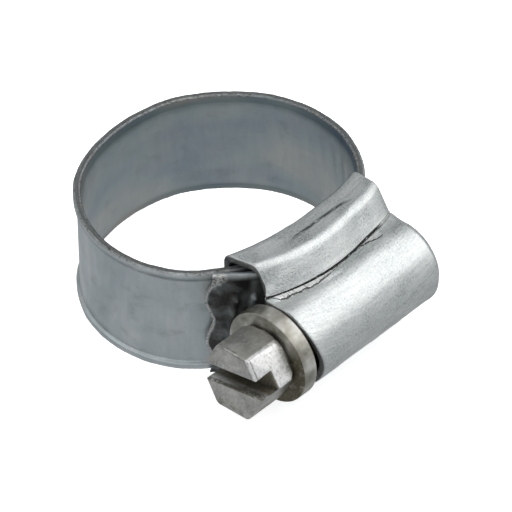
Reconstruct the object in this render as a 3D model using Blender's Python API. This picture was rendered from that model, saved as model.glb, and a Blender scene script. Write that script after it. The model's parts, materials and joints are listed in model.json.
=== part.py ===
"""Worm-drive hose clamp: a steel band, a pressed housing and a slotted hexagon screw.

Lengths below are in millimetres in the loop frame: the origin is at the middle of the
band's loop, +Z is along the hose, the housing is at -Y and the screw lies along X with
its head at -X. LOOP shifts that frame so the world origin is under the middle of the
clamp, on the surface it rests on.
"""

import math

import bmesh
import bpy
from mathutils import Matrix, Vector

MM = 0.001
LOOP = Vector((0.9, 4.1, 7.6))

# band strip
BAND_T = 0.7
BAND_HALF_W = 6.5
LIP_START = 5.3
LIP_FLARE = 0.4
LINK_GAP = 0.2
TAIL_CENTRE = Vector((-0.6, 0.7))
TAIL_R = 15.25
TAIL_FREE_DEG = -135.0
TAIL_REAR_DEG = 16.0
FAR_END_DEG = 152.0
LEFT_END_DEG = 214.0

# oval loop, as the radius of the strip's middle about the loop centre
LOOP_R = 14.3
LOOP_COS2, LOOP_SIN2 = 0.69, -0.185
LOOP_COS3, LOOP_SIN3 = -0.07, -0.21
LAP_INSET = 0.33

# pressed thread on the strip, and the worm that drives it
PITCH = 2.0
MESH_R = 15.8
RIDGE_H = 0.5
RIDGE_FOOT, RIDGE_CREST = 0.42, 0.22
RIDGE_HALF_LEN = 3.6
RIDGE_SLANT = 0.145
AXIS_Y = -17.6
WORM_R, WORM_ROOT_R = 2.5, 1.95
WORM_FOOT, WORM_CREST = 0.5, 0.2
WORM_START, WORM_TURNS = -6.6, 6.5

# screw head
HEX_FRONT, HEX_BACK = -17.2, -12.1
HEX_R = 4.25
HEX_FRONT_CONE_R, HEX_BACK_CONE_R = 4.1, 4.85
COLLAR_BACK = -10.2
COLLAR_R = 5.2
HEX_TURN_DEG = -3.0
SLOT_W, SLOT_DEPTH, SLOT_LIFT, SLOT_TILT_DEG = 1.8, 2.3, 0.4, -11.0
NECK_R = 3.0
SPIGOT_R, SPIGOT_END = 1.5, 8.7

# housing sheet
SHEET_T = 0.8
SADDLE_MID, SADDLE_R, SADDLE_X = -10.7, 27.8, 0.35
SHOULDER_MID, SHOULDER_R, SHOULDER_X = -16.8, 21.3, -0.3
FOLD_Z = 7.6
TUNNEL_R = 5.0
HOUSING_LEFT, HOUSING_RIGHT = -8.8, 9.5
TUNNEL_LEFT, TUNNEL_RIGHT = -8.5, 9.3
RIM_CURL = 0.6


def clear_scene():
    for obj in list(bpy.data.objects):
        bpy.data.objects.remove(obj, do_unlink=True)
    for mesh in list(bpy.data.meshes):
        bpy.data.meshes.remove(mesh)


def collection(name, helpers=False):
    coll = bpy.data.collections.new(name)
    bpy.context.scene.collection.children.link(coll)
    coll.hide_render = helpers
    return coll


def material(name, colour, roughness, metallic=1.0):
    mat = bpy.data.materials.new(name)
    mat.use_nodes = True
    bsdf = mat.node_tree.nodes["Principled BSDF"]
    bsdf.inputs["Base Color"].default_value = (*colour, 1.0)
    bsdf.inputs["Roughness"].default_value = roughness
    bsdf.inputs["Metallic"].default_value = metallic
    mat.diffuse_color = (*colour, 1.0)
    return mat


def add_object(name, bm, coll, origin=(0.0, 0.0, 0.0), parent=None, mat=None, sharp=35.0):
    """An object whose own origin is at the loop-frame point origin."""
    origin = Vector(origin)
    bmesh.ops.recalc_face_normals(bm, faces=bm.faces)
    bmesh.ops.translate(bm, verts=bm.verts, vec=-origin)
    bmesh.ops.scale(bm, verts=bm.verts, vec=(MM, MM, MM))
    mesh = bpy.data.meshes.new(name)
    bm.to_mesh(mesh)
    bm.free()
    mesh.shade_smooth()
    mesh.set_sharp_from_angle(angle=math.radians(sharp))
    obj = bpy.data.objects.new(name, mesh)
    coll.objects.link(obj)
    obj["loop_origin"] = list(origin)
    if parent:
        obj.parent = parent
        obj.location = (origin - Vector(parent["loop_origin"])) * MM
    else:
        obj.location = (origin + LOOP) * MM
    if mat:
        mesh.materials.append(mat)
    if coll.hide_render:
        obj.hide_render = True
        obj.display_type = "WIRE"
    return obj


def boolean(obj, other, operation):
    mod = obj.modifiers.new(other.name, "BOOLEAN")
    mod.operation = operation
    mod.solver = "EXACT"
    mod.object = other


def smoothstep(x):
    x = min(max(x, 0.0), 1.0)
    return x * x * (3.0 - 2.0 * x)


def loft_sheet(bm, near, far, closed):
    """A sheet between two grids of points, near[station][k] and far[station][k]."""
    grids = [[[bm.verts.new(p) for p in row] for row in grid] for grid in (near, far)]
    rows, cols = len(near), len(near[0])
    spans = [(k, (k + 1) % cols) for k in range(cols if closed else cols - 1)]
    for i in range(rows - 1):
        for grid in grids:
            for a, b in spans:
                bm.faces.new((grid[i][a], grid[i][b], grid[i + 1][b], grid[i + 1][a]))
        if not closed:
            for k in (0, cols - 1):
                n, f = grids[0], grids[1]
                bm.faces.new((n[i][k], n[i + 1][k], f[i + 1][k], f[i][k]))
    for i in (0, rows - 1):
        for a, b in spans:
            n, f = grids[0][i], grids[1][i]
            bm.faces.new((n[a], n[b], f[b], f[a]))


# ---------------------------------------------------------------- band


def lip(z):
    """How far the rolled edge stands outward at height z."""
    over = max(0.0, abs(z) - LIP_START) / (BAND_HALF_W - LIP_START)
    return LIP_FLARE * over**1.6


def tail_point(deg):
    a = math.radians(deg)
    return TAIL_CENTRE + TAIL_R * Vector((math.cos(a), math.sin(a)))


def oval_radius(t):
    return (
        LOOP_R
        + LOOP_COS2 * math.cos(2 * t)
        + LOOP_SIN2 * math.sin(2 * t)
        + LOOP_COS3 * math.cos(3 * t)
        + LOOP_SIN3 * math.sin(3 * t)
    )


def loop_point(deg):
    """The strip's middle at this angle round the loop, from the tail's rear end on."""
    t = math.radians(deg)
    start = tail_point(TAIL_REAR_DEG)
    t0 = math.atan2(start.y, start.x)
    r = oval_radius(t)
    r += (start.length - oval_radius(t0)) * (1.0 - smoothstep((t - t0) / math.radians(40)))
    r -= LAP_INSET * smoothstep((deg - 188.0) / 24.0)
    return Vector((r * math.cos(t), r * math.sin(t)))


def spline(points, steps):
    """A Catmull-Rom curve through the points after the first and before the last."""
    out = []
    for p0, p1, p2, p3 in zip(points, points[1:], points[2:], points[3:]):
        for s in range(steps):
            t = s / steps
            out.append(
                0.5
                * (
                    2 * p1
                    + (p2 - p0) * t
                    + (2 * p0 - 5 * p1 + 4 * p2 - p3) * t * t
                    + (3 * p1 - p0 - 3 * p2 + p3) * t**3
                )
            )
    return out + [points[-2]]


def strip(bm, path):
    """The band's section swept along the path, whose left side faces the hose."""
    zs = [-6.5, -6.1, -5.7, -5.3, -3.6, 3.6, 5.3, 5.7, 6.1, 6.5]
    near, far = [], []
    for i, p in enumerate(path):
        along = (path[min(i + 1, len(path) - 1)] - path[max(i - 1, 0)]).normalized()
        out = Vector((along.y, -along.x))
        near.append([(*(p + out * (lip(z) - BAND_T / 2)), z) for z in zs])
        far.append([(*(p + out * (lip(z) + BAND_T / 2)), z) for z in zs])
    loft_sheet(bm, near, far, closed=False)


def ridge(bm, place):
    """One pressed thread ridge. place(s, h) is the point s along and h out of the strip."""
    bottom, top = BAND_T / 2 - 0.2, BAND_T / 2 + RIDGE_H
    corners = []
    for h, half, reach in ((bottom, RIDGE_FOOT, 0.0), (top, RIDGE_CREST, 0.35)):
        for z in (reach - RIDGE_HALF_LEN, RIDGE_HALF_LEN - reach):
            for s in (-half, half):
                corners.append(bm.verts.new((*place(s + RIDGE_SLANT * z, h), z)))
    for q in ((0, 1, 3, 2), (4, 6, 7, 5), (0, 4, 5, 1), (2, 3, 7, 6), (0, 2, 6, 4), (1, 5, 7, 3)):
        bm.faces.new([corners[k] for k in q])


def circle_place(centre_deg):
    def place(s, h):
        a = math.radians(centre_deg) + s / MESH_R
        return TAIL_CENTRE + (TAIL_R + h) * Vector((math.cos(a), math.sin(a)))

    return place


def path_place(point, out):
    along = Vector((-out.y, out.x))
    return lambda s, h: point + along * s + out * h


def polyline_at(path, distance):
    """The point and the outward direction this far along the path."""
    for a, b in zip(path, path[1:]):
        step = (b - a).length
        if distance <= step:
            along = (b - a) / step
            return a + along * distance, Vector((along.y, -along.x))
        distance -= step
    return None


def build_band(coll, helpers, mat):
    pitch_deg = math.degrees(PITCH / MESH_R)
    gap_deg = math.degrees(LINK_GAP / TAIL_R)
    steps = 36
    rear = TAIL_REAR_DEG - gap_deg
    tail_path = [
        tail_point(TAIL_FREE_DEG + (rear - TAIL_FREE_DEG) * i / steps) for i in range(steps + 1)
    ]
    bm = bmesh.new()
    strip(bm, tail_path)
    tail = add_object("band_tail", bm, coll, (*TAIL_CENTRE, 0.0), mat=mat)

    bm = bmesh.new()
    k = math.ceil((TAIL_FREE_DEG + 90.0 + 3.0) / pitch_deg - 0.5)
    while -90.0 + (k + 0.5) * pitch_deg < TAIL_REAR_DEG - 5.0:
        ridge(bm, circle_place(-90.0 + (k + 0.5) * pitch_deg))
        k += 1
    ridges = add_object("tail_ridges", bm, helpers, (*TAIL_CENTRE, 0.0))
    boolean(tail, ridges, "UNION")

    start = tail_point(TAIL_REAR_DEG)
    start_deg = math.degrees(math.atan2(start.y, start.x))
    gap = math.degrees(LINK_GAP / LOOP_R)
    far_path = loop_path(start_deg + gap, FAR_END_DEG - gap, 28)
    far_hinge = (*start, 0.0)
    bm = bmesh.new()
    strip(bm, far_path)
    far = add_object("band_far_side", bm, coll, far_hinge, parent=tail, mat=mat)

    bm = bmesh.new()
    for n in range(6):
        point, out = polyline_at(far_path, 1.1 + n * PITCH)
        ridge(bm, path_place(point, out))
    far_ridges = add_object("far_ridges", bm, helpers, far_hinge)
    boolean(far, far_ridges, "UNION")

    left_hinge = (*loop_point(FAR_END_DEG), 0.0)
    bm = bmesh.new()
    strip(bm, loop_path(FAR_END_DEG + gap, LEFT_END_DEG - gap, 14))
    left = add_object("band_left_side", bm, coll, left_hinge, parent=far, mat=mat)

    head_hinge = (*loop_point(LEFT_END_DEG), 0.0)
    points = [
        loop_point(LEFT_END_DEG - 8.0),
        loop_point(LEFT_END_DEG + gap),
        Vector((-10.4, -9.45)),
        Vector((-8.8, -10.75)),
        Vector((-6.6, -11.7)),
        Vector((-4.2, -12.25)),
        Vector((-2.0, -12.5)),
    ]
    bm = bmesh.new()
    strip(bm, spline(points, 3))
    add_object("band_head_end", bm, coll, head_hinge, parent=left, mat=mat)


def loop_path(first, last, steps):
    return [loop_point(first + (last - first) * i / steps) for i in range(steps + 1)]


# ---------------------------------------------------------------- screw


def cylinder(bm, x0, x1, r0, r1, segments, turn=0.0):
    """A cylinder or cone along X, on the screw's axis."""
    place = (
        Matrix.Translation(((x0 + x1) / 2, AXIS_Y, 0.0))
        @ Matrix.Rotation(math.radians(90.0), 4, "Y")
        @ Matrix.Rotation(turn, 4, "Z")
    )
    bmesh.ops.create_cone(
        bm,
        cap_ends=True,
        segments=segments,
        radius1=r0,
        radius2=r1,
        depth=x1 - x0,
        matrix=place,
    )


def screw_piece(name, helpers, x0, x1, r0, r1=None, segments=40, turn=0.0):
    bm = bmesh.new()
    cylinder(bm, x0, x1, r0, r0 if r1 is None else r1, segments, turn)
    return add_object(name, bm, helpers, (0.0, AXIS_Y, 0.0))


def build_thread(helpers):
    """A right-handed trapezoid thread, whose turns face the strip's grooves."""
    per_turn = 20
    count = int(WORM_TURNS * per_turn)
    near, far = [], []
    for i in range(count + 1):
        turn = i / per_turn
        a = turn * math.tau
        x = WORM_START + PITCH * turn
        ends = smoothstep(turn / 0.25) * smoothstep((WORM_TURNS - turn) / 0.25)
        tip = WORM_ROOT_R + 0.03 + (WORM_R - WORM_ROOT_R - 0.03) * ends
        for grid, r, half in (
            (near, WORM_ROOT_R - 0.3, WORM_FOOT + 0.15),
            (far, tip, WORM_CREST + (WORM_FOOT - WORM_CREST) * (1.0 - ends)),
        ):
            y, z = AXIS_Y + r * math.cos(a), r * math.sin(a)
            grid.append([(x - half, y, z), (x + half, y, z)])
    bm = bmesh.new()
    loft_sheet(bm, near, far, closed=False)
    return add_object("thread", bm, helpers, (0.0, AXIS_Y, 0.0))


def build_screw(coll, helpers, mat):
    origin = (0.0, AXIS_Y, 0.0)
    bm = bmesh.new()
    cylinder(bm, HEX_FRONT, HEX_BACK + 0.2, HEX_R, HEX_R, 6, turn=math.radians(30.0 + HEX_TURN_DEG))
    screw = add_object("screw", bm, coll, origin, mat=mat, sharp=30.0)
    cone = screw_piece(
        "hex_cone", helpers, HEX_FRONT - 0.1, HEX_BACK + 0.3, HEX_FRONT_CONE_R, HEX_BACK_CONE_R
    )
    boolean(screw, cone, "INTERSECT")
    shank = [
        screw_piece("collar", helpers, HEX_BACK, COLLAR_BACK, COLLAR_R, segments=48),
        screw_piece("neck", helpers, COLLAR_BACK - 0.2, WORM_START - 1.2, NECK_R),
        screw_piece("core", helpers, WORM_START - 1.4, 7.2, WORM_ROOT_R, segments=36),
        screw_piece("spigot", helpers, 7.0, SPIGOT_END, SPIGOT_R, segments=28),
        build_thread(helpers),
    ]
    for piece in shank:
        boolean(screw, piece, "UNION")
    bm = bmesh.new()
    bmesh.ops.create_cube(
        bm,
        size=1.0,
        matrix=Matrix.Translation((HEX_FRONT + SLOT_DEPTH / 2 - 1.0, AXIS_Y, SLOT_LIFT))
        @ Matrix.Rotation(math.radians(SLOT_TILT_DEG), 4, "X")
        @ Matrix.Diagonal((SLOT_DEPTH + 2.0, 12.0, SLOT_W, 1.0)),
    )
    slot = add_object("slot", bm, helpers, origin)
    boolean(screw, slot, "DIFFERENCE")
    return screw


# ---------------------------------------------------------------- housing


def arc_y(x, mid, radius, centre_x):
    """An arc, bulging to -Y, whose lowest point is at centre_x."""
    return mid + radius - math.sqrt(radius * radius - (x - centre_x) ** 2)


def housing_section(saddle, shoulder, tunnel_r, thick):
    """Half of the closed section as (y, z), from the saddle's middle to the tunnel's top.

    thick is 0 for the skin that shows, and the sheet's thickness for the one inside.
    """
    sd, sh = saddle - thick, shoulder + thick
    top, r = FOLD_Z - thick, tunnel_r - thick
    corner = 0.45 if thick else 1.0
    shoulder_r = 0.95 if thick else 2.0
    pts = [(sd, 0.0), (sd, 3.3)]
    for step in range(4):
        a = math.radians(30.0 * step)
        y = sd - corner * (1.0 - math.cos(a))
        pts.append((y, top - corner * (1.0 - math.sin(a))))
    for step in range(5):
        a = math.radians(22.5 * step)
        y = sh + shoulder_r * (1.0 - math.sin(a))
        pts.append((y, top - shoulder_r * (1.0 - math.cos(a))))
    pts.append((sh - 0.25 - 0.1 * thick, 5.0 - thick))
    for step in range(7):
        a = math.radians(15.0 * step)
        pts.append((AXIS_Y - r * math.sin(a), r * math.cos(a)))
    return pts


def build_housing(coll, mat):
    stations = [0.0, 0.1, 0.22, 0.34, 0.46, 0.58, 0.7, 0.82, 0.92, 0.97, 1.0]
    grids = []
    for thick in (0.0, SHEET_T):
        grid = []
        for u in stations:
            x = HOUSING_LEFT + (HOUSING_RIGHT - HOUSING_LEFT) * u
            curl = RIM_CURL * smoothstep((u - 0.93) / 0.07)
            half = housing_section(
                arc_y(x, SADDLE_MID, SADDLE_R, SADDLE_X),
                arc_y(x, SHOULDER_MID, SHOULDER_R, SHOULDER_X),
                TUNNEL_R - curl,
                thick,
            )
            whole = half + [(y, -z) for y, z in reversed(half[1:-1])]
            row = []
            for y, z in whole:
                depth = smoothstep((-13.5 - y) / 4.0)
                x0 = HOUSING_LEFT + (TUNNEL_LEFT - HOUSING_LEFT) * depth
                x1 = HOUSING_RIGHT + (TUNNEL_RIGHT - HOUSING_RIGHT) * depth
                row.append((x0 + (x1 - x0) * u, y, z))
            grid.append(row)
        grids.append(grid)
    bm = bmesh.new()
    loft_sheet(bm, grids[0], grids[1], closed=True)
    return add_object("housing", bm, coll, mat=mat)


def main():
    clear_scene()
    coll = collection("hose_clamp")
    helpers = collection("cutters", helpers=True)
    zinc_band = material("zinc_band", (0.45, 0.50, 0.54), 0.38)
    zinc_housing = material("zinc_housing", (0.62, 0.66, 0.67), 0.32)
    steel_screw = material("steel_screw", (0.50, 0.50, 0.47), 0.36)
    build_housing(coll, zinc_housing)
    build_screw(coll, helpers, steel_screw)
    build_band(coll, helpers, zinc_band)


main()
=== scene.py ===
"""Visual model of the worm-drive hose clamp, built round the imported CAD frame.

Lengths are in millimetres in the part's loop frame: the origin is at the middle of the
band's loop, +Z is along the hose, the housing is at -Y and the screw lies along X with
its head at -X. LOOP is where that origin stands in the row frame.
"""

import json
import math

import bpy
import numpy as np
from mathutils import Matrix, Vector


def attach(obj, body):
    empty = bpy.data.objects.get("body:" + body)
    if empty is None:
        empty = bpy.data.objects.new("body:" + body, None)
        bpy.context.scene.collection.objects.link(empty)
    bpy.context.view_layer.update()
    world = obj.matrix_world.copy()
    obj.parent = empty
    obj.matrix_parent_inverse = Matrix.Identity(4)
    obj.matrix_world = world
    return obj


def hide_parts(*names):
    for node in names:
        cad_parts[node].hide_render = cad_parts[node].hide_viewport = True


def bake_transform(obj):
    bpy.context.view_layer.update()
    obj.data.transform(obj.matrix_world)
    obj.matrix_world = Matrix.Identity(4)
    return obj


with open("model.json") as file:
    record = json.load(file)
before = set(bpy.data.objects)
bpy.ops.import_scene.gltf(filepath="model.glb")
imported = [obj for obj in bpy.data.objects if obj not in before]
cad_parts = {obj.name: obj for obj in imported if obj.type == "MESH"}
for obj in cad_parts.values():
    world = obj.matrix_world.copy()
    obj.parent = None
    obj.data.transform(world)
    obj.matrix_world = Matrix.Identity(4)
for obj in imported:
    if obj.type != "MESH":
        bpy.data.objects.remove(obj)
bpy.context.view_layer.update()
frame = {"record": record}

MM = 0.001
JOINT_AT = {j["name"]: np.array(j["pos_m"]) / MM for j in frame["record"]["behaviour"]["joints"]}

# band
TAIL_CENTRE = np.array((-0.6, 0.7))
LOOP = JOINT_AT["tail_feed"] - (*TAIL_CENTRE, 0.0)
TAIL_R = 15.25
TAIL_FREE_DEG, TAIL_REAR_DEG = -135.0, 16.0
FAR_SPLIT_DEG, LEFT_SPLIT_DEG, LEFT_END_DEG = 85.0, 183.0, 214.0
BAND_T, BAND_HALF_W = 0.7, 6.5
LIP_START, LIP_RUN, LIP_RISE = 5.5, 0.28, 0.36
EDGE_R = 0.28
RIDGE_PITCH = 2.0 * TAIL_R / 15.8
RIDGE_H, RIDGE_DENT = 0.5, 0.07
RIDGE_FOOT, RIDGE_CREST = 0.46, 0.2
RIDGE_HALF_LEN, RIDGE_SLANT = 3.6, 0.145
RIDGES_FROM, RIDGES_TO = -11.3, 40.0
LAP_TO = 13.0
# how far the strip swells out beyond the plain oval, where, and over how many degrees
SWELLS = ((0.34, -16.0, 27.0), (-0.15, 21.0, 9.0), (0.33, 60.0, 18.0), (0.25, 207.0, 11.0))
SWELL_LEFT, SWELL_LEFT_FROM, SWELL_LEFT_TO = 0.41, 98.0, 234.0

# screw
AXIS_Y = JOINT_AT["screw_spin"][1] - LOOP[1]
PITCH = 2.0
WORM_R, WORM_ROOT_R = 2.5, 1.95
WORM_START, WORM_TURNS = -6.6, 6.5
HEX_R, HEX_TURN_DEG = 4.25, -3.0
HEX_FRONT, HEX_BACK, FRONT_LEAN = -17.2, -12.35, 0.05
SLOT_W, SLOT_DEPTH, SLOT_LIFT, SLOT_TILT_DEG = 2.0, 2.2, 0.3, -11.0
COLLAR_FRONT, COLLAR_BACK, COLLAR_R = -12.05, -10.2, 5.22

# housing
SHEET_T = 0.8
SADDLE_MID, SADDLE_R, SADDLE_X = -10.7, 27.8, 0.35
SADDLE_DROP, SADDLE_THINNING = 0.55, 0.35
SHOULDER_MID, SHOULDER_R, SHOULDER_X = -16.8, 21.3, -0.3
SHOULDER_ROUND, SHOULDER_DROP = 2.55, 0.8
BEND_R, BEND_DEG = 1.35, 56.0
FOLD_Z, TUNNEL_R = 7.6, 5.0
HOUSING_LEFT, HOUSING_RIGHT = -8.8, 9.5
TUNNEL_LEFT, TUNNEL_RIGHT = -8.75, 9.5
MOUTH_REACH, SADDLE_REACH = 1.0, 0.6
RIM_CURL, RIM_START = 0.4, 8.9
GOUGE_RUN, GOUGE_BOW = 5.4, 0.03
BURR_WIDTH, FORK_WIDTH = 0.8, 1.0


# ---------------------------------------------------------------- small tools


def smooth(x):
    x = np.clip(x, 0.0, 1.0)
    return x * x * (3.0 - 2.0 * x)


def hump(x, width):
    return np.exp(-((x / width) ** 2))


def wobble(x, seed, longest=6.0, waves=7):
    """A smooth irregular line between about -1 and 1, the same on each run."""
    rng = np.random.default_rng(seed)
    x = np.asarray(x, float)
    out = np.zeros_like(x)
    for k in range(waves):
        length = longest / 1.7**k
        out += np.sin(math.tau * (x / length + rng.random())) * 0.75**k
    return out / 2.6


def new_object(name, verts, faces, sharp_deg=40.0, **masks):
    """A closed mesh piece from points in the loop frame. masks become mesh attributes."""
    verts = np.asarray(verts, float).reshape(-1, 3)
    faces = np.asarray(faces)
    corner = verts[faces]
    volume = np.einsum("ij,ij->", corner[:, 0], np.cross(corner[:, 1], corner[:, 2]))
    if faces.shape[1] == 4:
        volume += np.einsum("ij,ij->", corner[:, 0], np.cross(corner[:, 2], corner[:, 3]))
    if volume < 0:
        faces = faces[:, ::-1]
    mesh = bpy.data.meshes.new(name)
    mesh.from_pydata(((verts + LOOP) * MM).tolist(), [], faces.tolist())
    for key, values in masks.items():
        values = np.asarray(values, np.float32)
        vector = values.ndim > 1 and values.shape[-1] == 3
        mask = mesh.attributes.new(key, "FLOAT_VECTOR" if vector else "FLOAT", "POINT")
        mask.data.foreach_set("vector" if vector else "value", values.ravel())
    mesh.shade_smooth()
    mesh.set_sharp_from_angle(angle=math.radians(sharp_deg))
    obj = bpy.data.objects.new(name, mesh)
    bpy.context.scene.collection.objects.link(obj)
    return obj


# ---------------------------------------------------------------- band shape


def loop_point(deg):
    """The strip's middle at these angles round the oval loop, past the tail's arc."""
    t = np.radians(deg)
    rear = math.radians(TAIL_REAR_DEG)
    start = TAIL_CENTRE + TAIL_R * np.array((math.cos(rear), math.sin(rear)))

    def oval(a):
        wide = 0.69 * np.cos(2 * a) - 0.185 * np.sin(2 * a)
        return 14.3 + wide - 0.07 * np.cos(3 * a) - 0.21 * np.sin(3 * a)

    t0 = math.atan2(start[1], start[0])
    r = oval(t) + (np.hypot(*start) - oval(t0)) * (1.0 - smooth((t - t0) / math.radians(40.0)))
    r -= 0.33 * smooth((np.asarray(deg) - 188.0) / 24.0)
    return np.stack((r * np.cos(t), r * np.sin(t)), -1)


def swell(deg):
    """How far the strip lies outside the plain oval, by its angle counted on from the tail."""
    left = SWELL_LEFT * smooth((deg - SWELL_LEFT_FROM) / 36.0) * smooth((SWELL_LEFT_TO - deg) / 22.0)
    return left + sum(size * hump(deg - at, spread) for size, at, spread in SWELLS)


def spline(knots, steps):
    """A Catmull-Rom curve from the second knot to the last but one."""
    out = []
    t = np.linspace(0.0, 1.0, steps, endpoint=False)[:, None]
    for p0, p1, p2, p3 in zip(knots, knots[1:], knots[2:], knots[3:]):
        bend = (2 * p0 - 5 * p1 + 4 * p2 - p3) * t**2 + (3 * p1 - p0 - 3 * p2 + p3) * t**3
        out.append(0.5 * (2 * p1 + (p2 - p0) * t + bend))
    return np.concatenate(out + [[knots[-2]]])


class BandPath:
    """The strip's middle line by distance along it. Distance 0 is under the worm."""

    STEP = 0.05

    def __init__(self):
        lead = 5.0
        a = np.radians(np.linspace(TAIL_FREE_DEG - lead, TAIL_REAR_DEG, 700))
        tail = TAIL_CENTRE + TAIL_R * np.stack((np.cos(a), np.sin(a)), -1)
        first = math.degrees(math.atan2(tail[-1][1], tail[-1][0]))
        round_loop = loop_point(np.linspace(first, LEFT_END_DEG, 900))[1:]
        knots = [loop_point(LEFT_END_DEG - 8.0), loop_point(LEFT_END_DEG)]
        knots += [np.array(p) for p in ((-10.4, -9.45), (-8.8, -10.75), (-6.6, -11.7))]
        knots += [np.array(p) for p in ((-4.2, -12.25), (-2.0, -12.5), (0.2, -12.6))]
        line = np.concatenate((tail, round_loop, spline(knots, 30)[1:]))
        run = self.lengths(line)
        even = np.arange(0.0, run[-1], self.STEP)
        line = np.stack([np.interp(even, run, line[:, k]) for k in (0, 1)], -1)
        reach = 24
        kernel = hump(np.arange(-reach, reach + 1) * self.STEP, 0.7)
        kernel /= kernel.sum()
        inner = np.stack([np.convolve(line[:, k], kernel, "valid") for k in (0, 1)], -1)
        line[reach:-reach] = inner
        around = np.degrees(np.unwrap(np.arctan2(line[:, 1], line[:, 0])))
        self.line = line + self.outward(line) * swell(around)[:, None]
        zero = math.radians(-90.0 - TAIL_FREE_DEG + lead) * TAIL_R
        self.s = self.lengths(self.line) - zero
        self.out = self.outward(self.line)

    @staticmethod
    def outward(line):
        along = np.gradient(line, axis=0)
        along /= np.hypot(*along.T)[:, None]
        return np.stack((along[:, 1], -along[:, 0]), -1)

    @staticmethod
    def lengths(line):
        return np.concatenate(([0.0], np.cumsum(np.hypot(*np.diff(line, axis=0).T))))

    def at(self, s):
        """Points and outward directions at these distances."""
        pick = [np.interp(s, self.s, grid[:, k]) for grid in (self.line, self.out) for k in (0, 1)]
        return np.stack(pick[:2], -1), np.stack(pick[2:], -1)

    def distance_of(self, deg):
        """The distance at which the loop passes this angle about its middle."""
        near = np.hypot(*(self.line - loop_point(deg)).T)
        near[self.s < math.radians(90.0) * TAIL_R] = np.inf
        return float(self.s[near.argmin()])


PATH = BandPath()
TAIL_END = -math.radians(-90.0 - TAIL_FREE_DEG) * TAIL_R
HEAD_END = float(PATH.s[-1])


def band_section():
    """The strip's closed section: heights, and 0 on the hose side or 1 on the outside."""
    half = [0.0, 0.7, 1.4, 2.1, 2.8, 3.1, 3.35, 3.6, 3.85, 4.3, 4.8, 5.15]
    half += list(np.linspace(LIP_START, LIP_START + LIP_RUN, 8)) + [6.1, 6.22, 6.34, 6.42, 6.48, 6.5]
    half = np.array(half)
    z = np.concatenate((-half[:0:-1], half))
    return np.concatenate((z, z[::-1])), np.repeat((0.0, 1.0), len(z))


def ridge_height(s, z):
    """The thread ridges pressed out of the strip, from 0 to 1."""
    turn = (s - RIDGE_SLANT * z) / RIDGE_PITCH - 0.5
    off = np.abs(turn - np.round(turn)) * RIDGE_PITCH
    height = smooth((RIDGE_FOOT - off) / (RIDGE_FOOT - RIDGE_CREST))
    height *= smooth((RIDGE_HALF_LEN - np.abs(z)) / 0.55)
    return height * smooth((s - RIDGES_FROM) / 0.3) * smooth((RIDGES_TO - s) / 5.0)


def ridge_dent(s, z):
    """The soft hollows behind the ridges, on the hose side, from 0 to 1."""
    turn = (s - RIDGE_SLANT * z) / RIDGE_PITCH - 0.5
    height = (0.5 + 0.5 * np.cos(math.tau * turn)) * smooth((RIDGE_HALF_LEN + 0.8 - np.abs(z)) / 1.8)
    return height * smooth((s - RIDGES_FROM) / 2.0) * smooth((RIDGES_TO + 12.0 - s) / 16.0)


def ragged_end(z):
    """How far the cropped tail end reaches out along the strip at this height."""
    wave = 0.42 + 0.4 * np.cos(math.tau * (z - 3.0) / 5.4)
    return -0.4 - wave * smooth((5.6 - z) / 1.2) + 0.07 * wobble(z, 5, 1.3, 6)


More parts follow.
